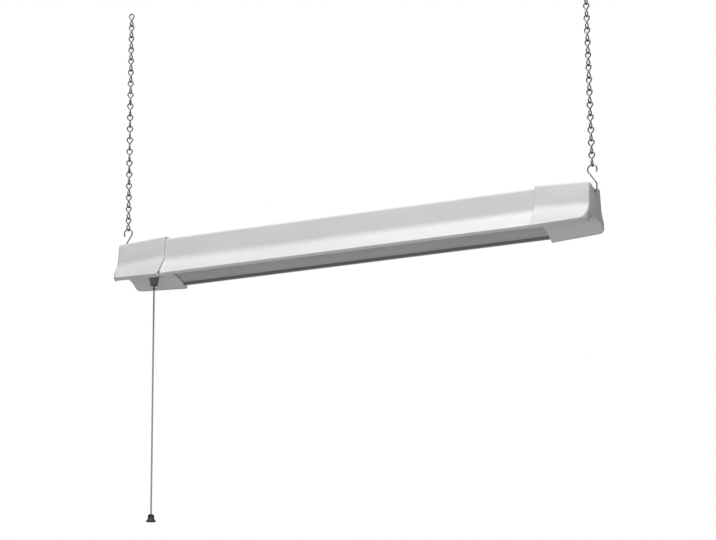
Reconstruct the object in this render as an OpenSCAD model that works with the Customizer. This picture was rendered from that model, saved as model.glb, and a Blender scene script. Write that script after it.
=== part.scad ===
// Hanging shop light: steel housing, moulded end caps, arched lens, pull switch and two wire chains.
// Millimetres. X runs along the light, the front is -Y and Z is up. Heights in the sections are taken
// from the lowest rim of the end caps; the finished part hangs below the two ceiling-hook seats.

/* [Light] */
// Length over both end caps
light_len = 610; // [560:1:700]
// Half width of the housing's flat top
top_hw = 16.3; // [14:0.1:18]
// Height of the housing's top
top_z = 52.4; // [50:0.1:58]
// Half width where the wall meets the flare
knee_hw = 19; // [17.5:0.1:21]
// Height where the wall meets the flare
knee_z = 23.5; // [21:0.1:26]
// Half width of the flare's edge
edge_hw = 32.6; // [31:0.1:36]
// Height of the flare's edge
edge_z = 5; // [4.5:0.1:6]
// Radius of the bend between wall and flare
knee_r = 18; // [10:1:22]
// Radius of the bend at the top
top_r = 3; // [1.5:0.1:4]
// Sheet thickness of the housing
sheet_t = 0.8; // [0.6:0.1:1.2]
// How far the lip runs in from the flare's edge
lip_in = 3.8; // [3:0.1:5]
// How far the lip drops from the flare's edge
lip_drop = 2.9; // [2:0.1:3.4]
// How far the lip turns back in under the lens
return_in = 1.6; // [1:0.1:2.5]
// Bend radius at the lip
lip_r = 1; // [0.9:0.05:1.2]

/* [End caps] */
// Length of an end cap
cap_len = 65.5; // [62:0.5:90]
// Wall of an end cap
cap_wall = 1.5; // [1.3:0.1:1.6]
// End wall of an end cap
end_wall = 2.4; // [2:0.1:2.6]
// Depth of the socket that takes the housing
socket_len = 20; // [18:1:24]
// How far in from the cap's mouth the socket's collar begins
collar_inset = 3; // [2:0.5:5]
// Step from the housing's side out to the cap
cap_side_step = 1.7; // [1.5:0.1:3]
// Step from the housing's top up to the cap
cap_top_step = 2.5; // [2:0.1:4]
// Step from the housing's knee out to the cap
cap_knee_step = 2; // [1.8:0.1:3]
// Rise of the cap's knee over the housing's
cap_knee_rise = 4.1; // [3:0.1:6]
// Step from the housing's edge out to the cap's edge
cap_edge_step = 6; // [5:0.1:8]
// Drop of the cap's edge below the housing's
cap_edge_drop = 2.1; // [1.5:0.1:3]
// Draft: how much the top falls over the cap's length
draft_top = 3.5; // [2:0.1:4]
// Draft: how much the edge draws in over the cap's length
draft_edge = 3.5; // [2:0.1:5]
// Draft: how much the rim rises over the cap's length
draft_rim = 2.7; // [1:0.1:4]
// Draft: how much the knee falls over the cap's length
draft_knee = 4.1; // [2:0.1:5]
// Height of the arch under a cap at its inner end
arch_z = 11.2; // [10:0.1:12]
// Rise of the arch over the cap's length
arch_rise = 0.9; // [0:0.1:1.5]
// Radius of the wing corners, seen from above
wing_r = 9.5; // [6:0.5:11]
// Rounding of the end face: how far it draws the section in
end_r = 1.8; // [0.8:0.1:2]
// How far the rounding of the end face runs back
end_run = 3; // [1.5:0.1:4]
// Height of the hook notch's lowest point
notch_z = 46.9; // [46.5:0.1:47.5]
// Radius of the hook notch
notch_r = 28.3; // [24:0.1:32]
// How far the notch runs in from the end face
notch_len = 11; // [9:0.5:14]

/* [Lens] */
// Thickness of the lens
lens_t = 1.5; // [1:0.1:2]
// Half width of the lens
lens_hw = 27.8; // [27.4:0.1:28.2]
// How far the lens tucks into each cap
lens_tuck = 12; // [8:1:16]

/* [Chains] */
// Links in each run
link_count = 19; // [8:1:30]
// Wire diameter of a link
wire_d = 1.6; // [1.2:0.1:1.8]
// Centreline radius of a link's eye
eye_r = 3.3; // [3:0.1:3.8]
// From a link's waist to the centre of its eye
eye_c = 5; // [4.6:0.1:6]
// Radius of the twist at a link's waist
waist_r = 0.95; // [0.9:0.05:1.1]
// Free play between one link and the next
link_play = 0.1; // [0.08:0.01:0.2]
// Twist at the middle of the left run, in degrees
left_twist = 24; // [0:1:30]
// Twist at the middle of the right run, in degrees
right_twist = -14; // [-30:1:30]

/* [S-hooks] */
// Wire diameter of an S-hook
hook_d = 1.6; // [1.2:0.1:1.8]
// Centreline radius of the upper loop
hook_top_r = 5.5; // [4.8:0.1:6]
// Centreline radius of the lower loop
hook_low_r = 4.6; // [4.4:0.1:5]
// Height of the lowest centreline point
hook_low_z = 43.6; // [43.4:0.1:43.8]
// Straight of the lower loop
hook_leg = 3.8; // [2:0.1:5]
// Height between the loops' nearer centres
hook_mid = 17.8; // [14:0.1:22]
// Where the upper loop's tip ends, in degrees from level
hook_tip_deg = -30; // [-40:1:0]
// Length of the lower loop's tip
hook_tip_len = 1.5; // [0.5:0.1:2]
// In from the end face to the hook's line
hook_inset = 2.2; // [2:0.1:2.4]
// Radius of the hole that the hook hangs in
hook_hole_r = 2.3; // [2.2:0.05:2.4]
// From the wire's lowest centreline down to the hole's centre
hook_hole_drop = 0.65; // [0.6:0.05:0.7]

/* [Pull switch] */
// In from the end face to the switch
switch_inset = 40; // [36:1:43]
// Length of the switch body
switch_len = 26; // [20:1:26]
// Width of the switch body
switch_w = 19; // [16:0.5:19]
// Height of the switch body
switch_h = 22; // [18:0.5:24]
// Radius of the threaded bushing
bushing_r = 4; // [3.8:0.1:4.2]
// Length of the threaded bushing
bushing_len = 10.5; // [9:0.5:11]
// Upper radius of the ribbed nut
nut_top_r = 6.4; // [6:0.1:7]
// Lower radius of the ribbed nut
nut_low_r = 4.6; // [4.4:0.1:5]
// Height of the ribbed nut
nut_h = 11.5; // [9:0.5:12]
// Flutes round the nut
flute_count = 8; // [6:1:12]
// Radius of a flute
flute_r = 1.2; // [0.8:0.1:1.4]
// Depth of a flute
flute_depth = 0.7; // [0.3:0.1:0.7]
// Radius of the nut's mouth
mouth_r = 2.4; // [2.2:0.1:2.8]
// Radius of the plunger rod
plunger_r = 1.1; // [0.8:0.05:1.3]
// Travel of the plunger
pull_travel = 8; // [4:0.5:8]

/* [Pull cord] */
// Diameter of the pull cord
cord_d = 2.3; // [1.8:0.1:2.8]
// Radius of the bead under the nut
bead_r = 1.3; // [1:0.1:1.5]
// Length of the cord coupling
coupling_len = 3.2; // [2.5:0.1:5]
// Radius of the cord coupling
coupling_r = 1.6; // [1.4:0.1:2]
// Length of the pull bell
bell_h = 9; // [7:0.5:14]
// Radius of the pull bell's mouth
bell_r = 5.8; // [5:0.1:8]
// Radius of the pull bell's shoulder
bell_top_r = 3.8; // [3:0.1:4.5]
// Radius of the hole that the cord is tied through
bell_eye_r = 1; // [0.8:0.1:1.3]

/* [Inner parts] */
// Half width of the gear tray
tray_hw = 13; // [12.5:0.1:13.2]
// Height of the tray's web, underside
tray_z = 24; // [22:0.5:26]
// Sheet thickness of the gear tray
tray_t = 1; // [0.8:0.1:1.2]
// Width of the tray's inward lips
tray_lip = 5; // [4:0.5:7]
// Gap between the pull switch and the gear tray
tray_gap = 16; // [15:1:27]
// Thickness of an LED board
board_t = 1.6; // [1:0.1:2]
// Half width of an LED board
board_hw = 12; // [9:0.5:12]
// Gap between the two LED boards
board_gap = 7; // [6.5:0.5:10]
// From the tray's end to the board's end
board_inset = 4; // [2:0.5:10]
// LED packages on each board
led_count = 22; // [8:1:24]
// Side of an LED package
led_w = 3; // [2.5:0.1:3.5]
// Thickness of an LED package
led_t = 0.7; // [0.5:0.1:1]
// Length of the driver
driver_len = 130; // [90:1:140]
// Half width of the driver
driver_hw = 10.5; // [8:0.5:11]
// Height of the driver
driver_h = 20; // [15:0.5:22]
// Gap between the driver's tab and the middle of the light
driver_gap = 13; // [8:1:20]
// Thickness of the hanger brackets
bracket_t = 1.4; // [1.2:0.1:1.5]
// Half width of a hanger bracket in the cap
bracket_hw = 15; // [13:0.5:15.5]
// Bend radius of a hanger bracket
bracket_r = 2; // [1.5:0.1:3]
// Length of a bracket's tongue in the tray
tongue_len = 24; // [18:1:30]
// Radius of the cord inlet's bore
inlet_bore_r = 3.6; // [3:0.1:4]
// Length of the cord inlet's bushing
inlet_len = 12; // [10:0.5:14]
// In from the gear tray's end to the cord inlet
inlet_inset = 21; // [20:1:36]
// Radius of a lead over its insulation
lead_r = 1; // [0.8:0.1:1.2]

/* [Fasteners] */
// Shank radius of the screws
screw_r = 1.6; // [1.4:0.05:1.8]
// Head radius of the screws
screw_head_r = 3; // [2.8:0.1:3.4]
// Head height of the screws
screw_head_h = 0.9; // [0.7:0.1:1.6]

/* [Fits] */
// Gap between the housing and its socket
socket_fit = 0.2; // [0.1:0.05:0.3]
// Gap between the lens and the arch below it
lens_fit = 0.5; // [0.3:0.05:0.6]
// Gap round a screw in its hole
screw_fit = 0.2; // [0.1:0.05:0.3]
// Running gap round the plunger rod
plunger_fit = 0.05; // [0.03:0.01:0.1]
// Small gap between pieces that rest on each other
seat = 0.1; // [0.05:0.01:0.15]

/* [Hidden] */
$fn = 64;
eps = 0.01;
side_signs = [-1, 1];

// Colours of the finishes
white_paint = [0.86, 0.86, 0.86];
cap_white = [0.80, 0.80, 0.80];
lens_grey = [0.62, 0.62, 0.62];
zinc = [0.55, 0.55, 0.56];
dark_nut = [0.22, 0.22, 0.22];
steel = [0.66, 0.67, 0.68];
board_white = [0.93, 0.93, 0.91];
led_yellow = [0.93, 0.82, 0.40];
cord_grey = [0.76, 0.76, 0.76];
black = [0.12, 0.12, 0.12];
green = [0.12, 0.48, 0.20];
white_wire = [0.92, 0.92, 0.92];
red_wire = [0.70, 0.12, 0.10];

// ---- Derived sizes ----
end_x = light_len / 2;
cap_x = end_x - cap_len;
tip_hw = edge_hw - lip_in;
tip_z = edge_z - lip_drop;
flare_run = edge_hw - knee_hw;
flare_fall = knee_z - edge_z;

// Cap section at its inner end, and what the draft takes off over its length
cap_top_hw = top_hw + cap_side_step;
cap_top_z = top_z + cap_top_step;
cap_knee_hw = knee_hw + cap_knee_step;
cap_knee_z = knee_z + cap_knee_rise;
cap_edge_hw = edge_hw + cap_edge_step;
cap_edge_z = edge_z - cap_edge_drop;
draft_knee_out = 1;
draft_top_out = 0.5;
cap_edge_cut = 0.4;
cap_edge_stock = 2;
cap_edge_r = 0.35;
cap_knee_share = 2;
least_r = 0.2;

// Lens: its arch follows the caps' arch, a wall and a gap above it
arch_r = arch_radius(cap_edge_hw - lip_in, arch_z);
lens_r = arch_r + cap_wall;
lens_z = arch_z + cap_wall + lens_fit;
foot_hw = lens_hw + 1.5;
tongue_z = 8;
tongue_gap = 0.3;

// Chain: a straight is a hair thinner than the bend that it runs into, and laps into it
straight_share = 0.975;
lap = 0.2;
wire_r = wire_d / 2;
loop_len = eye_c + eye_r;
link_pitch = 2 * loop_len - wire_d - link_play;
leg_deg = acos(eye_r / eye_c);
leg_len = sqrt(eye_c * eye_c - eye_r * eye_r);
hook_r = hook_d / 2;
hook_x = end_x - hook_inset;
hook_low_c = hook_low_z + hook_low_r;
hook_mid_c = hook_low_c + hook_leg;
hook_top_c = hook_mid_c + hook_mid;
hook_top_z = hook_top_c + hook_top_r;
first_waist = hook_top_z - hook_r - wire_r - link_play + loop_len;
last_waist = first_waist + (link_count - 1) * link_pitch;
hang_h = last_waist + loop_len - wire_r;
hook_hole_z = hook_low_z - hook_hole_drop;
hook_cross = asin((hook_top_r + hook_low_r) / hook_mid);
hook_run = sqrt(hook_mid * hook_mid - pow(hook_top_r + hook_low_r, 2));

// Switch
switch_x = -(end_x - switch_inset);
switch_share = (cap_len - switch_inset) / cap_len;
switch_arch_z = arch_z + arch_rise * switch_share;
switch_z = arch_z + arch_rise * (switch_share + switch_len / 2 / cap_len) + cap_wall + seat;
bushing_z = switch_z - bushing_len;
nut_fit = 0.3;
nut_top_z = switch_arch_z - 2 * nut_fit;
nut_z = nut_top_z - nut_h;
guide_h = 2;
plunger_head_r = 2.6;
plunger_bore_r = 3;
plunger_head_h = 2;
plunger_head_z = switch_z + pull_travel + seat;
bead_drop = 0.8;
bead_z = nut_z - bead_drop;
plunger_z = bead_z + bead_r + nut_fit;
coupling_z = bead_z - bead_r - nut_fit;
cord_top_z = coupling_z - coupling_len;

// Pull cord: points of its centreline, straight down from the coupling
cord_end_z = -281;
cord_step = 20;
cord_route = [for (z = [-cord_step : -cord_step : cord_end_z]) z];
cord_sides = 8;
cord_ring_step = 2.5;

// Tray and inner parts
tray_hl = end_x - switch_inset - switch_len / 2 - tray_gap;
tray_top_z = top_z - sheet_t - seat;
web_z = tray_z + tray_t;
board_z = tray_z - seat - board_t;
board_in = board_gap / 2;
board_out = tray_hl - board_inset;
led_z = board_z - led_t;
driver_z = web_z + seat;
driver_tab = 7;
driver_tab_t = 1.5;
driver_x = -(driver_gap + driver_tab + driver_len / 2);
driver_end_x = [driver_x - driver_len / 2, driver_x + driver_len / 2];
driver_screw_x = [driver_end_x[0] - driver_tab / 2, driver_end_x[1] + driver_tab / 2];
driver_r = 1.5;
bracket_z = web_z + seat;
bracket_x = end_x - end_wall - seat - bracket_t;
bracket_top_z = notch_z - seat;
bracket_screw_x = [8, 18];
window_gap = 0.6;
upright_hw = 10;
tongue_hw = tray_hw - tray_t - 3 * seat;
lead_hole_r = 2.8;
cap_screw_x = cap_x + socket_len / 2;
cap_screw_y = 8;
tray_screw_insets = [36, 196];
tray_screw_x = [for (inset = tray_screw_insets) tray_hl - inset];
tray_screw_y = tray_hw - tray_t - tray_lip / 2;
board_screw_share = [0.04, 0.5, 0.96];
board_screw_y = board_hw - screw_head_r - 1;
screw_grip = 4;
inlet_flange_r = 8;
inlet_flange_h = 1.8;
inlet_neck_r = 6.3;
inlet_neck_fit = 0.15;
inlet_x = inlet_inset - tray_hl;
connector_x = inlet_x + 22;
connector_y = 5.5;
connector_z = web_z + 8;
connector_len = 15;
connector_r = 3;
earth_x = inlet_x + 10;

// Leads: each runs straight for a stub where it enters a piece
lead_sides = 8;
lead_stub = 2;
lead_y = 5;
lead_exit_z = switch_z + switch_h * 0.75;
lead_turn_z = lead_exit_z + 4;
lead_high_z = web_z + 16;

// ---- Outlines ----
function unit(v) = v / norm(v);
function left_of(a, b) = let (u = unit(b - a)) [-u[1], u[0]];
function arch_radius(half, rise) = (half * half + rise * rise) / (2 * rise);
function arch_drop(r, half) = r - sqrt(r * r - half * half);
function mix(a, b, s) = a + (b - a) * s;
function flare_y(z) = edge_hw - (z - edge_z) * flare_run / flare_fall;
function reversed(list) = [for (i = [len(list) - 1 : -1 : 0]) list[i]];

// Corner b moved inwards by d, where the inside lies left of the path a, b, c
function inset_corner(a, b, c, d) =
    let (n = left_of(a, b), m = left_of(b, c))
    b + (n + m) * d / (1 + n * m);

// Points of the arc that rounds corner b between a and c
function corner_arc(a, b, c, r, steps) =
    let (
        u = unit(a - b),
        v = unit(c - b),
        half = acos(u * v) / 2,
        centre = b + unit(u + v) * r / sin(half),
        start = b + u * r / tan(half) - centre,
        from = atan2(start[1], start[0]),
        sweep = (180 - 2 * half) * sign(cross(b - a, c - b))
    )
    [for (i = [0 : steps]) centre + r * [cos(from + sweep * i / steps), sin(from + sweep * i / steps)]];

// Closed outline, drawn in by d, with every corner rounded; inner bends grow, outer ones shrink
function closed_outline(corners, radii, steps, d) =
    let (
        n = len(corners),
        moved = [for (i = [0 : n - 1])
            inset_corner(corners[(i + n - 1) % n], corners[i], corners[(i + 1) % n], d)],
        turns = [for (i = [0 : n - 1])
            sign(cross(corners[i] - corners[(i + n - 1) % n], corners[(i + 1) % n] - corners[i]))]
    )
    [for (i = [0 : n - 1])
        each corner_arc(moved[(i + n - 1) % n], moved[i], moved[(i + 1) % n],
            max(radii[i] - turns[i] * d, least_r), steps[i])];

// Open line, moved sideways by d, with its inner corners rounded
function open_line(corners, radii, steps, d) =
    let (
        n = len(corners),
        first = corners[0] + left_of(corners[0], corners[1]) * d,
        last = corners[n - 1] + left_of(corners[n - 2], corners[n - 1]) * d,
        moved = [for (i = [1 : n - 2]) inset_corner(corners[i - 1], corners[i], corners[i + 1], d)],
        all = concat([first], moved, [last])
    )
    concat([first],
        [for (i = [1 : n - 2])
            each corner_arc(all[i - 1], all[i], all[i + 1],
                max(radii[i] - sign(cross(corners[i] - corners[i - 1], corners[i + 1] - corners[i])) * d,
                    least_r), steps[i])],
        [last]);

function mirrored(points) = [for (p = reversed(points)) [-p[0], p[1]]];

// Right half of the housing's outer line, from the lip's return up to the top
return_z = lens_z - arch_drop(lens_r, lens_hw) - 3 * seat;
housing_half = [[tip_hw - return_in, return_z], [tip_hw, tip_z], [edge_hw, edge_z],
    [knee_hw, knee_z], [top_hw, top_z]];
housing_corners = concat(housing_half, mirrored(housing_half));
housing_radii = [0, lip_r, lip_r, knee_r, top_r, top_r, knee_r, lip_r, lip_r, 0];
housing_steps = [0, 6, 6, 16, 8, 8, 16, 6, 6, 0];

// What the housing and lens fill where a cap slides on
foot_z = lens_z - arch_drop(lens_r, foot_hw);
foot_share = 0.6;
socket_half = [[foot_hw, foot_z],
    [mix(foot_hw, flare_y(tongue_z), foot_share) + seat, mix(foot_z, tongue_z, foot_share)],
    [flare_y(tongue_z), tongue_z], [knee_hw, knee_z], [top_hw, top_z]];
// Half width of a cap seen from above: it follows the draft, then the wing corner, drawn in by d
wing_x = end_x - wing_r;
function wing_hw(x, d) =
    cap_edge_hw - cap_edge_cut - draft_edge * (min(x, wing_x) - cap_x) / cap_len - d
    - (x > wing_x ? wing_r - d - sqrt(max(pow(wing_r - d, 2) - pow(x - wing_x, 2), 0)) : 0);

// Cap section at share s of its length, with its wings cut off upright at half width w
function cap_half(s, w) =
    let (
        rim = [cap_edge_hw - draft_edge * s, cap_edge_z + draft_rim * s],
        knee = [cap_knee_hw + draft_knee_out * s, cap_knee_z - draft_knee * s]
    )
    [[w - lip_in, rim[1] - lip_drop], [w, rim[1]],
        [w, rim[1] + (rim[0] - w) * (knee[1] - rim[1]) / (rim[0] - knee[0])], knee,
        [cap_top_hw + draft_top_out * s, cap_top_z - draft_top * s]];
cap_radii = [0, cap_edge_r, cap_edge_r, knee_r, top_r, top_r, knee_r, cap_edge_r, cap_edge_r, 0];
cap_steps = [0, 1, 1, 9, 6, 6, 9, 1, 1, 0];
arch_steps = 18;

// Closed ring at x over the right half of a section and an arch of that height between its tips, drawn
// in by d. The arch's arc keeps its centre, and ends where it meets the line of the lip
function section_ring(x, half, apex, d) =
    let (
        corners = concat(half, mirrored(half)),
        last = len(corners) - 1,
        bend = min(knee_r, cap_knee_share * norm(half[2] - half[3])),
        moved = [for (i = [1 : last - 1]) inset_corner(corners[i - 1], corners[i], corners[i + 1], d)],
        r = arch_radius(half[0][0], apex - half[0][1]),
        centre = [0, apex - r],
        inward = unit(half[0] - half[1]),
        from = moved[0] - centre,
        reach = -from * inward - sqrt(pow(from * inward, 2) - from * from + pow(r + d, 2)),
        tip = moved[0] + reach * inward,
        path = concat([tip], moved, [[-tip[0], tip[1]]]),
        half_turn = asin(tip[0] / (r + d))
    )
    [for (p = concat([tip],
        [for (i = [1 : last - 1])
            let (
                turn = sign(cross(corners[i] - corners[i - 1], corners[i + 1] - corners[i])),
                radius = min(cap_radii[i], bend)
            )
            each corner_arc(path[i - 1], path[i], path[i + 1],
                max(radius - turn * d, least_r), cap_steps[i])],
        [for (k = [0 : arch_steps - 1])
            let (turn = half_turn * (2 * k / arch_steps - 1))
            centre + (r + d) * [sin(turn), cos(turn)]])) [x, p[0], p[1]]];

// Ring of a cap's outside at x, with the section drawn in by d
function cap_ring(x, d) =
    let (s = (x - cap_x) / cap_len)
    section_ring(x, cap_half(s, wing_hw(x, 0) + d), arch_z + arch_rise * s, d);

// Ring of a cap's hollow at x: its arch keeps a wall above the outer one, and stock stays at the wings
function hollow_ring(x) =
    let (
        s = (x - cap_x) / cap_len,
        apex = arch_z + arch_rise * s,
        outer_tip = cap_half(s, wing_hw(x, 0))[0],
        r = arch_radius(outer_tip[0], apex - outer_tip[1]),
        w = wing_hw(x, cap_wall + cap_edge_stock) + cap_wall,
        half = cap_half(s, w),
        tip = [w - lip_in, apex - arch_drop(r, w - lip_in)]
    )
    section_ring(x, [tip, [w, tip[1] + lip_drop], half[2], half[3], half[4]], apex, cap_wall);

// ---- Helpers ----
module hung() {
    translate([0, 0, -hang_h]) children();
}

module both_ends() {
    for (side = side_signs) scale_x(side) children();
}

module scale_x(side) {
    if (side < 0) mirror([1, 0, 0]) children();
    else children();
}

// An outline in Y and Z drawn along X from x0 to x1
module along_x(x0, x1) {
    translate([x0, 0, 0]) rotate([90, 0, 90]) linear_extrude(x1 - x0) children();
}

// Skin of a cup: rings of equal length along its outside, from the mouth to the closed end, and then
// along its inside back to the mouth. Its points are drawn at a slant, and turned back
module cup(outer, inner) {
    n = len(outer[0]);
    closed = len(outer) - 1;
    m = len(outer) + len(inner);
    slant = 37;
    rotate([0, 0, slant]) polyhedron(
        points = [for (ring = concat(outer, inner), p = ring)
            [p[0] * cos(slant) + p[1] * sin(slant), p[1] * cos(slant) - p[0] * sin(slant), p[2]]],
        faces = concat(
            [[for (i = [n - 1 : -1 : 0]) closed * n + i]],
            [[for (i = [0 : n - 1]) (closed + 1) * n + i]],
            [for (k = [0 : m - 1], i = [0 : n - 1]) if (k != closed)
                let (next = (k + 1) % m)
                [k * n + i, next * n + i, next * n + (i + 1) % n]],
            [for (k = [0 : m - 1], i = [0 : n - 1]) if (k != closed)
                let (next = (k + 1) % m)
                [k * n + i, next * n + (i + 1) % n, k * n + (i + 1) % n]]),
        convexity = 8);
}

// Skin over rings of equal length, given in order along X
module loft(rings) {
    n = len(rings[0]);
    m = len(rings);
    polyhedron(
        points = [for (ring = rings) each ring],
        faces = concat(
            [[for (i = [0 : n - 1]) i]],
            [[for (i = [n - 1 : -1 : 0]) (m - 1) * n + i]],
            [for (k = [0 : m - 2], i = [0 : n - 1])
                [k * n + i, (k + 1) * n + i, (k + 1) * n + (i + 1) % n]],
            [for (k = [0 : m - 2], i = [0 : n - 1])
                [k * n + i, (k + 1) * n + (i + 1) % n, k * n + (i + 1) % n]]),
        convexity = 6);
}

// Round tube along a line of points that never runs straight along Y
module tube(points, r, sides) {
    last = len(points) - 1;
    loft([for (i = [0 : last])
        let (
            ahead = unit(points[min(i + 1, last)] - points[max(i - 1, 0)]),
            across = unit(cross([0, 1, 0], ahead)),
            up = cross(ahead, across)
        )
        [for (k = [0 : sides - 1])
            let (turn = 360 * k / sides)
            points[i] + r * (cos(turn) * across + sin(turn) * up)]]);
}

// Arc of wire in the XZ plane, angles from +X towards +Z
module wire_arc(radius, r, from, sweep) {
    rotate([90, 0, 0]) mirror([0, 0, 1])
        rotate([0, 0, from])
            rotate_extrude(angle = sweep) translate([radius, 0]) circle(r);
}

// Screw that points down, with the underside of its head at the origin
module screw(grip) {
    translate([0, 0, -grip]) cylinder(h = grip + eps, r = screw_r);
    screw_head();
}

module screw_head() {
    difference() {
        cylinder(h = screw_head_h, r1 = screw_head_r, r2 = screw_head_r * 0.8);
        translate([0, 0, screw_head_h / 2])
            for (turn = [0, 90]) rotate([0, 0, turn])
                translate([-screw_r, -screw_r / 4, 0]) cube([2 * screw_r, screw_r / 2, screw_head_h]);
    }
}

// Box with rounded upright edges
module rounded_block(x0, x1, hw, z0, z1, r) {
    translate([0, 0, z0]) linear_extrude(z1 - z0)
        union() {
            translate([x0 + r, -hw]) square([x1 - x0 - 2 * r, 2 * hw]);
            translate([x0, -hw + r]) square([x1 - x0, 2 * (hw - r)]);
            for (x = [x0 + r, x1 - r], y = [-hw + r, hw - r]) translate([x, y]) circle(r);
        }
}

// ---- Chain ----
module eye() {
    translate([0, 0, eye_c]) wire_arc(eye_r, wire_r, leg_deg - 90, 360 - 2 * leg_deg);
    for (side = side_signs) rotate([0, side * (90 - leg_deg), 0])
        cylinder(h = leg_len + lap, r = wire_r * straight_share);
}

// One wire link: the upper eye faces the front, the lower eye faces the ends
module chain_link() {
    eye();
    rotate([180, 0, 90]) eye();
    sphere(waist_r);
}

// Links numbered from the S-hook upwards
module link_at(side, number, yaw) {
    hung() color(zinc) translate([side * hook_x, 0, first_waist + number * link_pitch])
        rotate([0, 0, yaw]) chain_link();
}

module chain_run(side, twist) {
    count = link_count - 2;
    for (i = [0 : count - 1]) link_at(side, i, twist * pow(sin(180 * i / (count - 1)), 2));
}

module left_top_link() { link_at(-1, link_count - 1, 0); }
module right_top_link() { link_at(1, link_count - 1, 0); }
module left_second_link() { link_at(-1, link_count - 2, 0); }
module right_second_link() { link_at(1, link_count - 2, 0); }
module left_chain() { chain_run(-1, left_twist); }
module right_chain() { chain_run(1, right_twist); }

// ---- S-hooks ----
module s_hook() {
    hung() color(zinc) translate([hook_x, 0, 0]) {
        translate([0, 0, hook_top_c])
            wire_arc(hook_top_r, hook_r, hook_tip_deg, 180 + hook_cross - hook_tip_deg);
        translate([0, 0, hook_top_c])
            rotate([0, 90 - hook_tip_deg, 0]) translate([0, 0, hook_top_r])
                sphere(hook_r * (2 - straight_share));
        translate([-hook_top_r * cos(hook_cross), 0, hook_top_c - hook_top_r * sin(hook_cross)])
            rotate([0, 180 - hook_cross, 0]) translate([0, 0, -lap])
                cylinder(h = hook_run + 2 * lap, r = hook_r * straight_share);
        translate([0, 0, hook_mid_c]) wire_arc(hook_low_r, hook_r, 0, hook_cross);
        translate([hook_low_r, 0, hook_low_c - lap])
            cylinder(h = hook_leg + 2 * lap, r = hook_r * straight_share);
        translate([0, 0, hook_low_c]) wire_arc(hook_low_r, hook_r, 180, 180);
        translate([-hook_low_r, 0, hook_low_c - lap])
            cylinder(h = hook_tip_len + lap, r = hook_r * straight_share);
        translate([-hook_low_r, 0, hook_low_c + hook_tip_len]) sphere(hook_r);
    }
}

module left_s_hook() { mirror([1, 0, 0]) s_hook(); }
module right_s_hook() { s_hook(); }

// ---- Housing and lens ----
module screw_hole_at(x, y, z) {
    translate([x, y, z - screw_grip]) cylinder(h = 2 * screw_grip, r = screw_r + screw_fit);
}

module housing() {
    half_len = cap_x + socket_len - seat;
    hung() color(white_paint) difference() {
        along_x(-half_len, half_len)
            polygon(concat(
                open_line(housing_corners, housing_radii, housing_steps, 0),
                reversed(open_line(housing_corners, housing_radii, housing_steps, sheet_t))));
        both_ends() {
            translate([cap_x - tongue_gap, -cap_edge_hw, -tongue_z])
                cube([2 * socket_len, 2 * cap_edge_hw, 2 * tongue_z]);
            for (y = cap_screw_y * side_signs) screw_hole_at(cap_screw_x, y, top_z);
            for (x = tray_screw_x, y = tray_screw_y * side_signs) screw_hole_at(x, y, top_z);
        }
        translate([inlet_x, 0, top_z - screw_grip])
            cylinder(h = 2 * screw_grip, r = inlet_neck_r + inlet_neck_fit);
    }
}

module lens() {
    half_len = cap_x + lens_tuck;
    facets = 180;
    hung() color(lens_grey) along_x(-half_len, half_len)
        intersection() {
            translate([0, lens_z - lens_r]) difference() {
                circle(lens_r + lens_t, $fn = facets);
                circle(lens_r, $fn = facets);
            }
            translate([-lens_hw, 0]) square([2 * lens_hw, 2 * lens_z]);
        }
}

// ---- End caps ----
// Shell of a cap: drafted outside with a rounded end face, a hollow, and a collar round the housing
module cap_shell() {
    face_steps = 4;
    wing_turns = [0, 14, 28];
    hollow_turns = [50, 25, 0];
    hollow_r = wing_r - cap_wall - cap_edge_stock;
    collar_run = 1;
    collar_x = cap_x + collar_inset;
    socket_x = cap_x + socket_len;
    cup(
        concat(
            [cap_ring(cap_x, 0)],
            [for (turn = wing_turns) cap_ring(wing_x + wing_r * sin(turn), 0)],
            [for (i = [0 : face_steps])
                let (turn = 90 * i / face_steps)
                cap_ring(end_x - end_run * (1 - sin(turn)), end_r * (1 - cos(turn)))]),
        concat(
            [hollow_ring(end_x - end_wall)],
            [for (turn = hollow_turns) hollow_ring(wing_x + hollow_r * sin(turn))],
            [hollow_ring(socket_x + collar_run)],
            [for (x = [socket_x, collar_x]) section_ring(x, socket_half, lens_z, -socket_fit)],
            [for (x = [collar_x - collar_run, cap_x]) hollow_ring(x)]));
}

module end_cap() {
    difference() {
        cap_shell();
        translate([end_x + notch_len, 0, notch_z + notch_r])
            rotate([0, -90, 0]) cylinder(h = 2 * notch_len, r = notch_r);
        translate([end_x - 2 * end_wall, 0, hook_hole_z])
            rotate([0, 90, 0]) cylinder(h = 3 * end_wall, r = hook_hole_r);
        for (y = cap_screw_y * side_signs) screw_hole_at(cap_screw_x, y, cap_top_z);
    }
}

module left_end_cap() {
    hung() color(cap_white) difference() {
        mirror([1, 0, 0]) end_cap();
        translate([switch_x, 0, -arch_z])
            rotate([0, 0, 50]) cylinder(h = 3 * arch_z, r = bushing_r + nut_fit);
    }
}

module right_end_cap() {
    hung() color(cap_white) end_cap();
}

module cap_screws() {
    z = cap_top_z - draft_top * (cap_screw_x - screw_head_r - cap_x) / cap_len + seat;
    hung() color(steel) both_ends()
        for (y = cap_screw_y * side_signs)
            translate([cap_screw_x, y, z]) screw(z - top_z + sheet_t + screw_fit);
}

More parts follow.
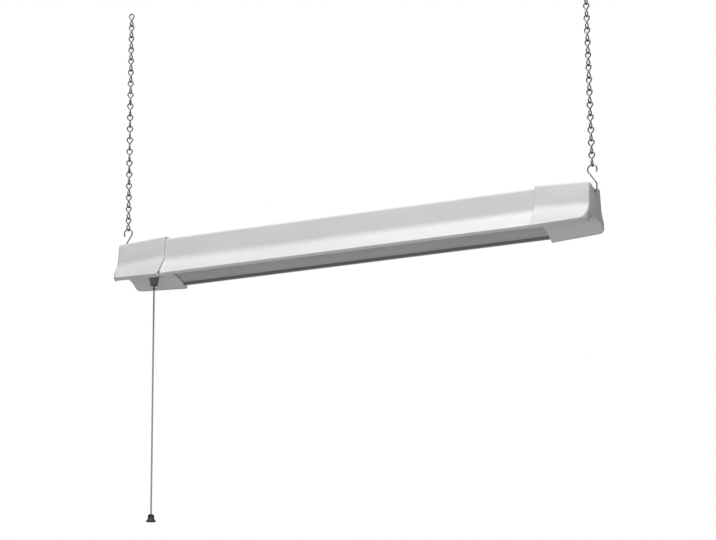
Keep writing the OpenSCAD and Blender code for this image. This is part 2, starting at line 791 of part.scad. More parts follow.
// ---- Gear tray, LED boards and driver ----
module gear_tray() {
    lip_end = tray_hw - tray_t - tray_lip;
    half = [[tray_hw, tray_z], [tray_hw, tray_top_z], [lip_end, tray_top_z]];
    line = concat(mirrored(half), half);
    radii = [0, tray_t * 1.5, tray_t * 1.5, tray_t * 1.5, tray_t * 1.5, 0];
    steps = [0, 6, 6, 6, 6, 0];
    hung() color(steel) difference() {
        along_x(-tray_hl, tray_hl)
            polygon(concat(open_line(line, radii, steps, 0),
                reversed(open_line(line, radii, steps, tray_t))));
        both_ends() {
            for (x = tray_screw_x, y = tray_screw_y * side_signs) pilot(x, y, tray_top_z);
            for (x = bracket_screw_x) pilot(tray_hl - x, 0, web_z);
            for (s = board_screw_share) pilot(mix(board_in, board_out, s), board_screw_y, web_z);
        }
        for (x = driver_screw_x) pilot(x, 0, web_z);
        pilot(earth_x, 0, web_z);
        translate([0, 0, tray_z - screw_grip]) cylinder(h = 3 * screw_grip, r = lead_hole_r);
    }
}

// Screw hole with a small running gap, through whatever lies near height z
module pilot(x, y, z) {
    translate([x, y, z - screw_grip]) cylinder(h = 2 * screw_grip, r = screw_r + seat);
}

module tray_screws() {
    z = top_z + seat;
    hung() color(steel) both_ends()
        for (x = tray_screw_x, y = tray_screw_y * side_signs)
            translate([x, y, z]) screw(screw_grip);
}

// Flat bracket on the tray with its end turned up behind the cap's end wall
module hanger_bracket() {
    foot_x = tray_hl - tongue_len;
    outer = bracket_x + bracket_t;
    corners = [[foot_x, bracket_z], [outer, bracket_z], [outer, bracket_top_z]];
    radii = [0, bracket_r, 0];
    steps = [0, 8, 0];
    switch_out = switch_len / 2 + window_gap;
    hung() color(steel) difference() {
        rotate([90, 0, 0]) linear_extrude(2 * bracket_hw, center = true)
            polygon(concat(open_line(corners, radii, steps, 0),
                reversed(open_line(corners, radii, steps, bracket_t))));
        for (side = side_signs) {
            translate([foot_x - eps, side * (bracket_hw + tongue_hw) - bracket_hw, bracket_z - bracket_t])
                cube([tongue_len + tongue_gap + eps, 2 * bracket_hw, 3 * bracket_t]);
            translate([bracket_x - bracket_t, side * (bracket_hw + upright_hw) - bracket_hw,
                    bracket_z + bracket_t + bracket_r])
                cube([3 * bracket_t, 2 * bracket_hw, bracket_top_z]);
        }
        translate([-switch_x - switch_out, -switch_w / 2 - window_gap, bracket_z - bracket_t])
            cube([2 * switch_out, switch_w + 2 * window_gap, 3 * bracket_t]);
        for (x = bracket_screw_x) pilot(tray_hl - x, 0, bracket_z);
        translate([bracket_x - bracket_t, 0, hook_hole_z])
            rotate([0, 90, 0]) cylinder(h = 3 * bracket_t, r = hook_hole_r);
    }
}

module left_hanger_bracket() { mirror([1, 0, 0]) hanger_bracket(); }
module right_hanger_bracket() { hanger_bracket(); }

module bracket_screws() {
    hung() color(steel) both_ends()
        for (x = bracket_screw_x)
            translate([tray_hl - x, 0, bracket_z + bracket_t + seat]) screw(bracket_t + tray_t + seat);
}

module led_board() {
    hung() color(board_white) difference() {
        translate([board_in, -board_hw, board_z]) cube([board_out - board_in, 2 * board_hw, board_t]);
        for (s = board_screw_share) pilot(mix(board_in, board_out, s), board_screw_y, board_z);
    }
}

module left_led_board() { mirror([1, 0, 0]) led_board(); }
module right_led_board() { led_board(); }

module led_packages() {
    hung() color(led_yellow) both_ends()
        for (i = [0 : led_count - 1])
            translate([mix(board_in, board_out, (i + 0.5) / led_count) - led_w / 2,
                    -led_w / 2, led_z])
                cube([led_w, led_w, led_t]);
}

module board_screws() {
    hung() color(steel) both_ends()
        for (s = board_screw_share)
            translate([mix(board_in, board_out, s), board_screw_y, board_z - seat])
                mirror([0, 0, 1]) screw(board_t + tray_t + 2 * seat);
}

module led_driver() {
    x0 = driver_end_x[0];
    x1 = driver_end_x[1];
    hung() color(white_paint) difference() {
        union() {
            rounded_block(x0, x1, driver_hw, driver_z, driver_z + driver_h, driver_r);
            rounded_block(x0 - driver_tab, x1 + driver_tab, screw_head_r + 1, driver_z,
                driver_z + driver_tab_t, driver_r);
        }
        for (x = driver_screw_x) pilot(x, 0, driver_z);
    }
}

module driver_screws() {
    hung() color(steel)
        for (x = driver_screw_x)
            translate([x, 0, driver_z + driver_tab_t + seat]) screw(driver_tab_t + tray_t + 2 * seat);
}

// ---- Cord inlet ----
module inlet_bushing() {
    barb_h = inlet_len - inlet_flange_h - sheet_t - 2 * seat;
    hung() color(black) translate([inlet_x, 0, top_z]) difference() {
        union() {
            translate([0, 0, seat]) cylinder(h = inlet_flange_h, r1 = inlet_flange_r,
                r2 = inlet_flange_r - 1);
            translate([0, 0, -sheet_t - seat]) cylinder(h = sheet_t + 2 * seat + eps, r = inlet_neck_r);
            translate([0, 0, -sheet_t - seat - barb_h])
                cylinder(h = barb_h, r1 = inlet_neck_r - 1, r2 = inlet_neck_r);
        }
        translate([0, 0, -2 * inlet_len]) cylinder(h = 4 * inlet_len, r = inlet_bore_r);
    }
}

// ---- Pull switch ----
module switch_body() {
    half = switch_len / 2;
    hung() color(black) difference() {
        rounded_block(switch_x - half, switch_x + half, switch_w / 2, switch_z, switch_z + switch_h,
            driver_r);
        translate([switch_x, 0, switch_z - eps])
            cylinder(h = plunger_head_z + plunger_head_h + 1 - switch_z, r = plunger_bore_r);
    }
}

module switch_bushing() {
    hung() color(steel) translate([switch_x, 0, 0]) difference() {
        translate([0, 0, bushing_z]) cylinder(h = bushing_len - eps, r = bushing_r);
        translate([0, 0, bushing_z + guide_h]) cylinder(h = bushing_len, r = plunger_bore_r);
        translate([0, 0, bushing_z - guide_h]) cylinder(h = bushing_len, r = plunger_r + plunger_fit);
    }
}

// Ribbed nut: tapered, with flutes down its side and a narrow mouth
module switch_nut() {
    taper = atan((nut_top_r - nut_low_r) / nut_h);
    rim_h = 1.4;
    hung() color(dark_nut) translate([switch_x, 0, nut_z]) difference() {
        cylinder(h = nut_h, r1 = nut_low_r, r2 = nut_top_r);
        for (i = [0 : flute_count - 1])
            rotate([0, 0, 360 * (i + 0.5) / flute_count])
                translate([nut_low_r + flute_r - flute_depth, 0, -eps])
                    rotate([0, taper, 0]) cylinder(h = nut_h - rim_h, r = flute_r, $fn = 24);
        translate([0, 0, bushing_z - seat - nut_z]) cylinder(h = nut_h, r = bushing_r + seat);
        translate([0, 0, -nut_h]) cylinder(h = 2 * nut_h, r = mouth_r);
    }
}

module switch_plunger() {
    hung() color(steel) translate([switch_x, 0, 0]) {
        translate([0, 0, plunger_z]) cylinder(h = plunger_head_z - plunger_z + eps, r = plunger_r);
        translate([0, 0, plunger_head_z]) cylinder(h = plunger_head_h, r = plunger_head_r);
    }
}

// ---- Pull cord ----
module pull_bead() {
    hung() color(zinc) translate([switch_x, 0, bead_z]) sphere(bead_r);
}

module cord_coupling() {
    hung() color(zinc) translate([switch_x, 0, cord_top_z + seat])
        rotate_extrude()
            polygon([[0, 0], [coupling_r * 0.8, 0], [coupling_r, coupling_len * 0.3],
                [coupling_r, coupling_len * 0.7], [coupling_r * 0.6, coupling_len - seat],
                [0, coupling_len - seat]]);
}

module pull_cord() {
    heights = concat([cord_top_z], cord_route, [cord_end_z]);
    rings = [for (i = [0 : len(heights) - 2])
        let (count = max(1, ceil((heights[i] - heights[i + 1]) / (cord_ring_step * cord_d))))
        for (j = [0 : count - 1]) mix(heights[i], heights[i + 1], j / count)];
    hung() color(cord_grey)
        tube([for (z = concat(rings, [cord_end_z])) [switch_x, 0, z]], cord_d / 2, cord_sides);
}

// Hollow bell at the cord's end, with a hole across its head that the cord is tied through
module pull_bell() {
    wall = 1.1;
    head_h = 5;
    foot_h = 1.2;
    curl_h = 1.6;
    neck_r = mix(bell_top_r, bell_r, 0.2);
    hung() color(dark_nut) translate([switch_x, 0, cord_end_z - bell_h]) difference() {
        rotate_extrude()
            polygon([[0, 0], [bell_r, 0], [bell_r, foot_h], [neck_r, foot_h + curl_h], [bell_top_r, head_h],
                [bell_top_r, bell_h - foot_h], [bell_top_r / 2, bell_h], [0, bell_h]]);
        translate([0, 0, -eps])
            cylinder(h = head_h - wall, r1 = bell_r - wall, r2 = bell_top_r - wall);
        translate([0, 0, bell_h - foot_h - bell_eye_r])
            rotate([90, 0, 0]) cylinder(h = 2 * bell_r, r = bell_eye_r, center = true);
    }
}

// ---- Wiring ----
module wire_connectors() {
    hung() color(black) for (side = side_signs)
        translate([connector_x, side * connector_y, connector_z]) rotate([0, 90, 0])
            cylinder(h = connector_len, r1 = connector_r, r2 = connector_r * 0.7);
}

module live_lead() {
    x = switch_x + switch_len / 2 + seat;
    hung() color(black) tube([
        [x, -lead_y, lead_exit_z],
        [x + lead_stub, -lead_y, lead_exit_z],
        [x + 3 * lead_stub, -lead_y, lead_turn_z],
        [inlet_x - 12, -1.5 * lead_y, web_z + 12],
        [connector_x - 12, -connector_y, connector_z],
        [connector_x - seat, -connector_y, connector_z]], lead_r, lead_sides);
}

module switched_lead() {
    x0 = switch_x + switch_len / 2 + seat;
    x1 = driver_end_x[0] - seat;
    z = driver_z + driver_h - 4;
    hung() color(red_wire) tube([
        [x0, lead_y, lead_exit_z],
        [x0 + lead_stub, lead_y, lead_exit_z],
        [x0 + 3 * lead_stub, lead_y, lead_turn_z],
        [inlet_x - 6, driver_hw - 1.5, lead_high_z],
        [x1 - 10, driver_hw - 1.5, lead_high_z],
        [x1 - lead_stub, lead_y, z],
        [x1, lead_y, z]], lead_r, lead_sides);
}

module neutral_lead() {
    x = driver_end_x[0] - seat;
    z = driver_z + driver_h / 2;
    hung() color(white_wire) tube([
        [connector_x - seat, connector_y, connector_z],
        [connector_x - 8, connector_y, connector_z],
        [connector_x - 8, connector_y, connector_z + 12],
        [connector_x + 8, 0, connector_z + 14],
        [x - 4 * lead_stub, 0, connector_z + 8],
        [x - lead_stub, 0, z],
        [x, 0, z]], lead_r, lead_sides);
}

module led_leads() {
    x = driver_end_x[1] + seat;
    z = driver_z + driver_h - 6;
    hole_y = 1.2;
    hung() for (side = side_signs)
        color(side < 0 ? black : red_wire) tube([
            [x, side * 4, z],
            [x + lead_stub, side * 4, z],
            [x + driver_tab + 2 * lead_stub, side * 4, z - lead_stub],
            [side * hole_y, side * hole_y, web_z + 6],
            [side * hole_y, side * hole_y, board_z - 3],
            [side * (board_in + 3), side * hole_y, board_z - lead_r - seat]], lead_r, lead_sides);
}

module earth_lead() {
    hung() color(green) tube([
        [earth_x + screw_head_r + lead_r, 0, web_z + lead_r + seat],
        [earth_x + 8, 0, web_z + 4],
        [earth_x + 4, 3, web_z + 12],
        [inlet_x, 0, top_z - inlet_len - 3]], lead_r, lead_sides);
}

module earth_screw() {
    hung() color(green) translate([earth_x, 0, web_z + seat]) screw(tray_t + seat);
}

left_top_link();
right_top_link();
left_second_link();
right_second_link();
left_chain();
right_chain();
left_s_hook();
right_s_hook();
housing();
left_end_cap();
right_end_cap();
lens();
cap_screws();
gear_tray();
tray_screws();
left_hanger_bracket();
right_hanger_bracket();
bracket_screws();
left_led_board();
right_led_board();
led_packages();
board_screws();
led_driver();
driver_screws();
inlet_bushing();
switch_body();
switch_bushing();
switch_nut();
switch_plunger();
pull_bead();
cord_coupling();
pull_cord();
pull_bell();
wire_connectors();
live_lead();
switched_lead();
neutral_lead();
led_leads();
earth_lead();
earth_screw();
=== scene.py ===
import math

import bmesh
import bpy
from mathutils import Matrix, Vector
from mathutils.geometry import delaunay_2d_cdt


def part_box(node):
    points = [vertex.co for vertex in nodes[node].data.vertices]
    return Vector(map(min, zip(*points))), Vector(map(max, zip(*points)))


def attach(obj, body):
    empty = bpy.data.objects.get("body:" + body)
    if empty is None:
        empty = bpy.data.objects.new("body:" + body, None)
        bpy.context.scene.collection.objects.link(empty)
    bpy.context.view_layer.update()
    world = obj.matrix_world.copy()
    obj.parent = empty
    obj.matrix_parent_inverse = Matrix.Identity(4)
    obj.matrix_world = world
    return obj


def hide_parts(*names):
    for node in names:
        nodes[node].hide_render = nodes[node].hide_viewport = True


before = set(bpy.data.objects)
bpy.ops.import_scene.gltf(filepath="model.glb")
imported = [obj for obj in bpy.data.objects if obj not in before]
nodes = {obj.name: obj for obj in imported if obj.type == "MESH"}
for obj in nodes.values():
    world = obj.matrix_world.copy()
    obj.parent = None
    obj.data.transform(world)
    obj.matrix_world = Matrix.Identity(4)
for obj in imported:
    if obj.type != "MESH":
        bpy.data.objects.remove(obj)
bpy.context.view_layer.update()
scene = bpy.context.scene
scene.view_settings.view_transform = "Standard"


# ---- Camera ----
SENSOR_MM = 36
LENS_MM = 110.993
CAMERA_PLACE = (1.0729, -2.2677, -1.0017)
CAMERA_RIGHT = (0.90448, 0.42641, -0.00971)
CAMERA_UP = (0.11275, -0.21707, 0.96962)
CAMERA_BACK = (0.41135, -0.8781, -0.24441)


def make_camera():
    """The camera of the photograph, seen from below the light's right front."""
    data = bpy.data.cameras.new("camera")
    data.sensor_width = SENSOR_MM
    data.lens = LENS_MM
    data.clip_start, data.clip_end = 0.1, 60
    cam = bpy.data.objects.new("camera", data)
    scene.collection.objects.link(cam)
    turn = Matrix((CAMERA_RIGHT, CAMERA_UP, CAMERA_BACK)).transposed()
    cam.matrix_world = Matrix.Translation(CAMERA_PLACE) @ turn.to_4x4()
    scene.camera = cam


make_camera()


# ---- Materials ----
class Nodes:
    """A material's nodes, joined up by name."""

    def __init__(self, name):
        self.mat = bpy.data.materials.new(name)
        self.mat.use_nodes = True
        self.tree = self.mat.node_tree
        self.tree.nodes.clear()
        self.out = self.add("ShaderNodeOutputMaterial")
        self.bsdf = self.add("ShaderNodeBsdfPrincipled")
        self.join(self.bsdf.outputs[0], self.out.inputs["Surface"])
        self.coord = self.add("ShaderNodeTexCoord").outputs["Object"]

    def add(self, kind, **props):
        node = self.tree.nodes.new(kind)
        for key, value in props.items():
            setattr(node, key, value)
        return node

    def join(self, a, b):
        self.tree.links.new(a, b)

    def put(self, socket, value):
        if isinstance(value, bpy.types.NodeSocket):
            self.join(value, socket)
        else:
            socket.default_value = value

    def scaled(self, x, y, z):
        node = self.add("ShaderNodeMapping")
        self.join(self.coord, node.inputs["Vector"])
        node.inputs["Scale"].default_value = (x, y, z)
        return node.outputs[0]

    def noise(self, scale, detail=2, rough=0.5, vector=None):
        node = self.add("ShaderNodeTexNoise")
        self.join(vector or self.coord, node.inputs["Vector"])
        node.inputs["Scale"].default_value = scale
        node.inputs["Detail"].default_value = detail
        node.inputs["Roughness"].default_value = rough
        return node.outputs["Fac"]

    def cells(self, scale, output="Distance"):
        node = self.add("ShaderNodeTexVoronoi", feature="F1")
        self.join(self.coord, node.inputs["Vector"])
        node.inputs["Scale"].default_value = scale
        return node.outputs[output]

    def wave(self, scale, axis):
        node = self.add("ShaderNodeTexWave", bands_direction=axis)
        self.join(self.coord, node.inputs["Vector"])
        node.inputs["Scale"].default_value = scale
        return node.outputs["Fac"]

    def span(self, value, low, high, to_low, to_high):
        node = self.add("ShaderNodeMapRange")
        self.join(value, node.inputs["Value"])
        limits = {"From Min": low, "From Max": high, "To Min": to_low, "To Max": to_high}
        for key, number in limits.items():
            node.inputs[key].default_value = number
        return node.outputs[0]

    def maths(self, kind, a, b=0.0):
        node = self.add("ShaderNodeMath", operation=kind)
        for socket, value in zip(node.inputs, (a, b)):
            self.put(socket, value)
        return node.outputs[0]

    def axis(self, name):
        node = self.add("ShaderNodeSeparateXYZ")
        self.join(self.coord, node.inputs[0])
        return node.outputs[name]

    def blend(self, factor, a, b):
        node = self.add("ShaderNodeMix", data_type="RGBA")
        self.put(node.inputs[0], factor)
        self.put(node.inputs[6], a)
        self.put(node.inputs[7], b)
        return node.outputs[2]

    def bump(self, height, distance, strength=1.0, normal=None):
        node = self.add("ShaderNodeBump")
        self.join(height, node.inputs["Height"])
        node.inputs["Distance"].default_value = distance
        node.inputs["Strength"].default_value = strength
        if normal:
            self.join(normal, node.inputs["Normal"])
        return node.outputs[0]

    def soft_edges(self, radius):
        node = self.add("ShaderNodeBevel", samples=4)
        node.inputs["Radius"].default_value = radius
        return node.outputs[0]

    def finish(self, **values):
        for key, value in values.items():
            self.put(self.bsdf.inputs[key.replace("_", " ")], value)
        return self.mat


def grey(v):
    return (v, v, v, 1)


def housing_paint():
    """Baked white enamel on sheet steel, with an orange peel and small specks; painted shade darkens the
    inner faces of the lips' returns.
    """
    n = Nodes("housing_paint")
    drift = n.noise(9, 3, vector=n.scaled(1, 4, 4))
    tone = n.blend(n.span(drift, 0.3, 0.7, 0, 1), grey(0.80), grey(0.86))
    specks = n.span(n.cells(240), 0.0, 0.05, 1, 0)
    tone = n.blend(n.maths("MULTIPLY", specks, 0.10), tone, grey(0.55))
    peel = n.bump(n.noise(900, 2), 0.00006, 0.5, n.soft_edges(0.0006))
    rough = n.span(n.noise(60, 3), 0.3, 0.7, 0.34, 0.46)
    # Painted shade: the inner face of each lip's return, low down and beside the lens's long edges, is
    # darkened to grey 0.22.
    lens_lo, lens_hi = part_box("lens")
    edge = 0.0004
    low = n.span(n.axis("Z"), lens_lo.z + edge, lens_lo.z + 3 * edge, 1, 0)
    painted_shade_y = n.span(n.maths("ABSOLUTE", n.axis("Y")), lens_hi.y + edge, lens_hi.y + 2.25 * edge, 1, 0)
    tone = n.blend(n.maths("MULTIPLY", low, painted_shade_y), tone, grey(0.22))
    return n.finish(Base_Color=tone, Roughness=rough, Normal=peel, IOR=1.5, Coat_Weight=0.15,
                    Coat_Roughness=0.25)


def cap_plastic():
    """Moulded white plastic: a fine spark-eroded grain, faint flow marks along the draft."""
    n = Nodes("cap_plastic")
    flow = n.noise(16, 4, vector=n.scaled(1, 3, 3))
    tone = n.blend(n.span(flow, 0.3, 0.7, 0, 1), grey(0.74), grey(0.80))
    grain = n.bump(n.noise(1600, 3), 0.00005, 0.6, n.soft_edges(0.0012))
    rough = n.span(n.noise(220, 2), 0.3, 0.7, 0.42, 0.56)
    return n.finish(Base_Color=tone, Roughness=rough, Normal=grain, IOR=1.46, Subsurface_Weight=0.08,
                    Subsurface_Radius=(0.002, 0.002, 0.002), Subsurface_Scale=1.0)


def lens_plastic():
    """Opal plastic with fine ribs that run along the light."""
    n = Nodes("lens_plastic")
    ribs = n.wave(170, "Y")
    tone = n.blend(n.span(n.noise(30, 3), 0.3, 0.7, 0, 1), grey(0.53), grey(0.58))
    tone = n.blend(n.maths("MULTIPLY", ribs, 0.12), tone, grey(0.62))
    normal = n.bump(ribs, 0.00012, 0.6)
    return n.finish(Base_Color=tone, Roughness=0.32, Normal=normal, IOR=1.49, Subsurface_Weight=0.12,
                    Subsurface_Radius=(0.004, 0.004, 0.004), Subsurface_Scale=1.0)


def zinc_wire(name, dark, light, rough):
    """Bright zinc on steel wire: drawing lines, dull patches and small pits."""
    n = Nodes(name)
    patches = n.noise(260, 4, 0.6)
    tone = n.blend(n.span(patches, 0.35, 0.65, 0, 1), grey(dark), grey(light))
    pits = n.span(n.cells(1400), 0.0, 0.12, 1, 0)
    tone = n.blend(n.maths("MULTIPLY", pits, 0.35), tone, grey(dark * 0.5))
    normal = n.bump(n.noise(2200, 3), 0.00004, 0.5)
    shine = n.span(patches, 0.3, 0.7, rough, rough + 0.16)
    return n.finish(Base_Color=tone, Metallic=1.0, Roughness=shine, Normal=normal)


def galvanised():
    """Galvanised sheet and plated screws: a spangle of crystals of differing tone."""
    n = Nodes("plain_steel")
    crystals = n.cells(170, output="Color")
    split = n.add("ShaderNodeSeparateColor")
    n.join(crystals, split.inputs[0])
    tone = n.blend(n.span(split.outputs[0], 0, 1, 0, 1), grey(0.50), grey(0.68))
    normal = n.bump(n.noise(500, 3), 0.00005, 0.5, n.soft_edges(0.0004))
    shine = n.span(split.outputs[1], 0, 1, 0.28, 0.44)
    return n.finish(Base_Color=tone, Metallic=1.0, Roughness=shine, Normal=normal)


def board_white():
    """White solder mask over a pattern of broad copper tracks."""
    n = Nodes("board_white")
    track = n.add("ShaderNodeTexBrick")
    n.join(n.scaled(45, 160, 1), track.inputs["Vector"])
    track.inputs["Mortar Size"].default_value = 0.03
    track.inputs["Scale"].default_value = 1
    tone = n.blend(track.outputs["Fac"], grey(0.82), grey(0.70))
    normal = n.bump(track.outputs["Fac"], 0.00005, 0.8)
    return n.finish(Base_Color=tone, Roughness=n.span(n.noise(300), 0.3, 0.7, 0.3, 0.42), Normal=normal)


def led_yellow():
    """Phosphor gel in a white package."""
    n = Nodes("led_yellow")
    tone = n.blend(n.span(n.noise(700, 3), 0.35, 0.65, 0, 1), (0.85, 0.62, 0.14, 1), (0.92, 0.74, 0.25, 1))
    normal = n.bump(n.noise(1500, 2), 0.00003, 0.5)
    return n.finish(Base_Color=tone, Roughness=0.25, Normal=normal, Coat_Weight=0.3)


def plastic(name, dark, light, rough):
    """Moulded or pressed part in one colour with a fine grain and slight wear of its shine."""
    n = Nodes(name)
    tone = n.blend(n.span(n.noise(90, 4), 0.3, 0.7, 0, 1), grey(dark), grey(light))
    normal = n.bump(n.noise(1200, 3), 0.00005, 0.6, n.soft_edges(0.0004))
    shine = n.span(n.noise(160, 3), 0.3, 0.7, rough - 0.06, rough + 0.08)
    return n.finish(Base_Color=tone, Roughness=shine, Normal=normal)


def wire(name, colour):
    """Soft insulation with faint rings from the extruder."""
    n = Nodes(name)
    darker = tuple(0.75 * v for v in colour[:3]) + (1,)
    tone = n.blend(n.span(n.noise(180, 3), 0.3, 0.7, 0, 1), darker, colour)
    normal = n.bump(n.noise(900, 2), 0.00004, 0.5)
    return n.finish(Base_Color=tone, Roughness=n.span(n.noise(200), 0.3, 0.7, 0.3, 0.45), Normal=normal)


def cord_grey():
    """Twisted cotton cord: fine fibres along each strand and fuzz that softens its edges."""
    n = Nodes("cord_grey")
    fibres = n.noise(2600, 3, 0.7, n.scaled(1, 1, 0.35))
    tone = n.blend(n.span(fibres, 0.3, 0.7, 0, 1), grey(0.40), grey(0.62))
    normal = n.bump(fibres, 0.00012, 0.8)
    return n.finish(Base_Color=tone, Roughness=0.85, Normal=normal, Sheen_Weight=0.35, Sheen_Roughness=0.5)


MATERIALS = {
    "chain_steel": zinc_wire("chain_steel", 0.20, 0.36, 0.30),
    "hook_steel": zinc_wire("hook_steel", 0.22, 0.40, 0.28),
    "housing_paint": housing_paint(),
    "cap_plastic": cap_plastic(),
    "lens_plastic": lens_plastic(),
    "plain_steel": galvanised(),
    "board_white": board_white(),
    "led_yellow": led_yellow(),
    "driver_white": plastic("driver_white", 0.70, 0.78, 0.45),
    "black_plastic": plastic("black_plastic", 0.015, 0.03, 0.42),
    "dark_nut": plastic("dark_nut", 0.16, 0.24, 0.45),
    "cord_grey": cord_grey(),
    "bell_dark": plastic("bell_dark", 0.05, 0.09, 0.38),
    "wire_black": wire("wire_black", (0.02, 0.02, 0.022, 1)),
    "wire_red": wire("wire_red", (0.55, 0.03, 0.025, 1)),
    "wire_white": wire("wire_white", (0.78, 0.78, 0.76, 1)),
    "wire_green": wire("wire_green", (0.03, 0.30, 0.07, 1)),
}


def dress_cad():
    """Each CAD node takes the material of its own slot in the record."""
    for name, obj in nodes.items():
        for slot in obj.material_slots:
            key = slot.material.name.split(".")[0]
            slot.material = MATERIALS[key]


dress_cad()


# ---- End caps ----
END_WALL = 0.0024
SAME_PLACE = 2e-6
SHARP_EDGE = math.radians(32)


def inside(point, edges):
    """Whether a point of a plane lies within closed loops of edges, by the crossings to one side of it."""
    hits = 0
    for a, b in edges:
        if (a.y > point.y) != (b.y > point.y):
            hits += a.x + (point.y - a.y) * (b.x - a.x) / (b.y - a.y) > point.x
    return hits % 2 == 1


def refill_plane(bm, x):
    """Draws a flat end anew from its own outline, with its arch and its hole left open."""
    flat = [f for f in bm.faces if all(abs(v.co.x - x) < SAME_PLACE for v in f.verts)]
    rim = [e for f in flat for e in f.edges if sum(g in flat for g in e.link_faces) == 1]
    verts = list({v for e in rim for v in e.verts})
    index = {v: i for i, v in enumerate(verts)}
    bmesh.ops.delete(bm, geom=flat, context="FACES_ONLY")
    points = [Vector((v.co.y, v.co.z)) for v in verts]
    edges = [(index[e.verts[0]], index[e.verts[1]]) for e in rim]
    out, _, faces, _, _, _ = delaunay_2d_cdt(points, edges, [], 0, SAME_PLACE / 20)
    ends = [(points[a], points[b]) for a, b in edges]
    for face in faces:
        if not inside(sum((out[i] for i in face), Vector((0, 0))) / 3, ends):
            continue
        corners = [min(verts, key=lambda v: (Vector((v.co.y, v.co.z)) - out[i]).length_squared) for i in face]
        if len(set(corners)) == 3 and not bm.faces.get(corners):
            bm.faces.new(corners)


def make_cap(name, side):
    """A cap's own mesh, with its two flat end faces drawn anew."""
    bm = bmesh.new()
    bm.from_mesh(nodes[name].data)
    bm.transform(nodes[name].matrix_world)
    bmesh.ops.remove_doubles(bm, verts=bm.verts, dist=SAME_PLACE)
    end = max(v.co.x * side for v in bm.verts)
    for depth in (0, END_WALL):
        refill_plane(bm, side * (end - depth))
    bmesh.ops.delete(bm, geom=[e for e in bm.edges if not e.link_faces], context="EDGES")
    bmesh.ops.recalc_face_normals(bm, faces=bm.faces)
    mesh = bpy.data.meshes.new(name + "_shell")
    bm.to_mesh(mesh)
    bm.free()
    mesh.polygons.foreach_set("use_smooth", [True] * len(mesh.polygons))
    mesh.set_sharp_from_angle(angle=SHARP_EDGE)
    mesh.materials.clear()
    mesh.materials.append(MATERIALS["cap_plastic"])
    cap = bpy.data.objects.new(name + "_shell", mesh)
    scene.collection.objects.link(cap)
    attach(cap, "light")
    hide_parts(name)


make_cap("left_end_cap", -1)
make_cap("right_end_cap", 1)


# ---- Pull cord ----
STRANDS = 3
STRAND_SIDES = 9
STRAND_SWELL = 1.12
CORD_SWELL = 1.06
CORD_LAY = 0.0062
CORD_STEP = 0.00055


def strand_rings(top, bottom, centre, cord_r):
    """Vertices and faces of a cord of twisted strands that hangs straight down."""
    verts, faces = [], []
    sides = STRAND_SIDES
    count = max(2, round((top - bottom) / CORD_STEP))
    strand_r = cord_r / (1 + 1 / math.sin(math.pi / STRANDS))
    lay_r = cord_r - strand_r
    slope = math.atan(2 * math.pi * lay_r / CORD_LAY)
    for s in range(STRANDS):
        base = len(verts)
        for i in range(count + 1):
            z = top + (bottom - top) * i / count
            turn = 2 * math.pi * (s / STRANDS + (top - z) / CORD_LAY)
            out = Vector((math.cos(turn), math.sin(turn), 0))
            side = Vector((-math.sin(turn), math.cos(turn), 0))
            along = (side * math.sin(slope) - Vector((0, 0, math.cos(slope)))).normalized()
            other = along.cross(out)
            mid = Vector((centre[0], centre[1], z)) + out * lay_r
            for k in range(sides):
                a = 2 * math.pi * k / sides
                verts.append(mid + strand_r * STRAND_SWELL * (math.cos(a) * out + math.sin(a) * other))
        for i in range(count):
            for k in range(sides):
                a, b = base + i * sides + k, base + i * sides + (k + 1) % sides
                faces.append((a, b, b + sides, a + sides))
        faces.append(tuple(base + k for k in reversed(range(sides))))
        faces.append(tuple(base + count * sides + k for k in range(sides)))
    return verts, faces


def make_cord():
    """The pull cord, from the coupling straight down to the bell."""
    lo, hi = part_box("pull_cord")
    centre = ((lo.x + hi.x) / 2, (lo.y + hi.y) / 2)
    cord_d = hi.x - lo.x
    verts, faces = strand_rings(hi.z, lo.z, centre, cord_d / 2 / CORD_SWELL)
    mesh = bpy.data.meshes.new("cord_strands")
    mesh.from_pydata(verts, [], faces)
    mesh.polygons.foreach_set("use_smooth", [True] * len(mesh.polygons))
    mesh.materials.append(MATERIALS["cord_grey"])
    cord = bpy.data.objects.new("cord_strands", mesh)
    scene.collection.objects.link(cord)
    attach(cord, "cord")
    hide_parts("pull_cord")


make_cord()


# ---- Floor and light ----
FLOOR_HALF = 6.0
FLOOR_Z = -1.75
LIGHT_MIDDLE = (0, 0, -0.33)
WORLD_STRENGTH = 0.175


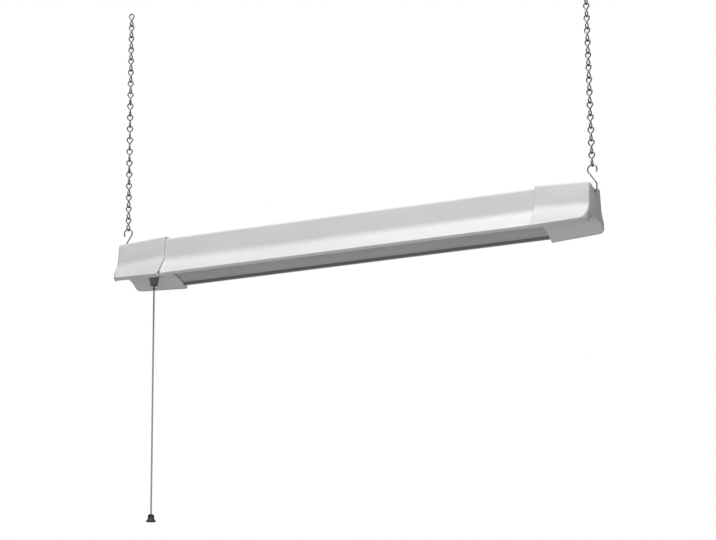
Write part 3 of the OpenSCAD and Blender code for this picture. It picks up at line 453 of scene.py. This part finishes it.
def make_floor():
    """A plain pale floor, 12 m square."""
    mesh = bpy.data.meshes.new("floor")
    corners = [(-1, -1), (1, -1), (1, 1), (-1, 1)]
    mesh.from_pydata([(FLOOR_HALF * x, FLOOR_HALF * y, FLOOR_Z) for x, y in corners], [], [(0, 1, 2, 3)])
    n = Nodes("floor_pale")
    tone = n.blend(n.span(n.noise(1.5, 3), 0.3, 0.7, 0, 1), grey(0.90), grey(0.93))
    grain = n.bump(n.noise(60, 3), 0.0004, 0.3)
    mesh.materials.append(n.finish(Base_Color=tone, Roughness=0.8, Normal=grain))
    floor = bpy.data.objects.new("floor", mesh)
    scene.collection.objects.link(floor)


def area_light(name, place, aim, size, power):
    """A soft panel of the given size and watts, out of the camera's sight."""
    data = bpy.data.lights.new(name, "AREA")
    data.shape, data.size, data.size_y, data.energy = "RECTANGLE", size[0], size[1], power
    light = bpy.data.objects.new(name, data)
    scene.collection.objects.link(light)
    light.location = place
    light.rotation_mode = "QUATERNION"
    light.rotation_quaternion = (Vector(aim) - Vector(place)).to_track_quat("-Z", "Y")
    light.visible_camera = False


def make_world(strength):
    """White behind the object, and an even light of the given strength all round it."""
    world = bpy.data.worlds.new("studio")
    world.use_nodes = True
    scene.world = world
    tree = world.node_tree
    tree.nodes.clear()
    out = tree.nodes.new("ShaderNodeOutputWorld")
    seen = tree.nodes.new("ShaderNodeBackground")
    lit = tree.nodes.new("ShaderNodeBackground")
    mix = tree.nodes.new("ShaderNodeMixShader")
    path = tree.nodes.new("ShaderNodeLightPath")
    seen.inputs["Color"].default_value = (1, 1, 1, 1)
    lit.inputs["Color"].default_value = (1, 1, 1, 1)
    lit.inputs["Strength"].default_value = strength
    tree.links.new(path.outputs["Is Camera Ray"], mix.inputs[0])
    tree.links.new(lit.outputs[0], mix.inputs[1])
    tree.links.new(seen.outputs[0], mix.inputs[2])
    tree.links.new(mix.outputs[0], out.inputs[0])


make_floor()
make_world(WORLD_STRENGTH)
area_light("top_light", (0.25, -0.72, 1.4), (0.05, 0, -0.33), (1.6, 1.3), 39)
area_light("front_light", (0.9, -2.6, -1.1), LIGHT_MIDDLE, (2.2, 0.6), 8)
